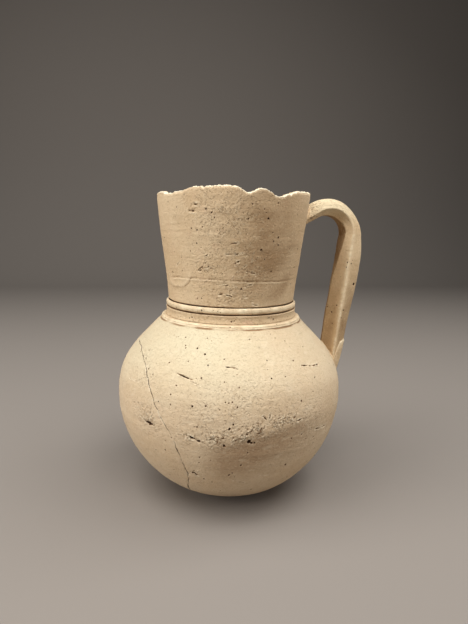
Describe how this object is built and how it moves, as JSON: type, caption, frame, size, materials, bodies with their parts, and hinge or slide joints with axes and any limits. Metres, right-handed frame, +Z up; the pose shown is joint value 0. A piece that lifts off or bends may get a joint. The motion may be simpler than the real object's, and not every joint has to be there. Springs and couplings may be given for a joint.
{
  "type": "ewer",
  "caption": "Round-bellied unglazed earthenware ewer with a flaring neck, a moulded collar over the neck joint, a chipped rim and a looped handle, for holding and pouring liquid.",
  "frame": {"origin": "centre of the flat base, on the axis that the pot was turned about", "axes": "+Z up along that axis, +X from the axis towards the handle, which lies in the XZ plane"},
  "size_m": [0.1379, 0.1236, 0.1653],
  "materials": {
    "body_clay": "matt fired clay",
    "neck_clay": "matt fired clay",
    "handle_clay": "matt fired clay, smoothed by wear"
  },
  "bodies": {
    "root": {"lower_body": "body_clay", "upper_body": "body_clay", "neck_collar": "neck_clay", "neck": "neck_clay", "handle": "handle_clay", "handle_upper_luting": "handle_clay", "handle_lower_luting": "handle_clay"}
  },
  "joints": []
}
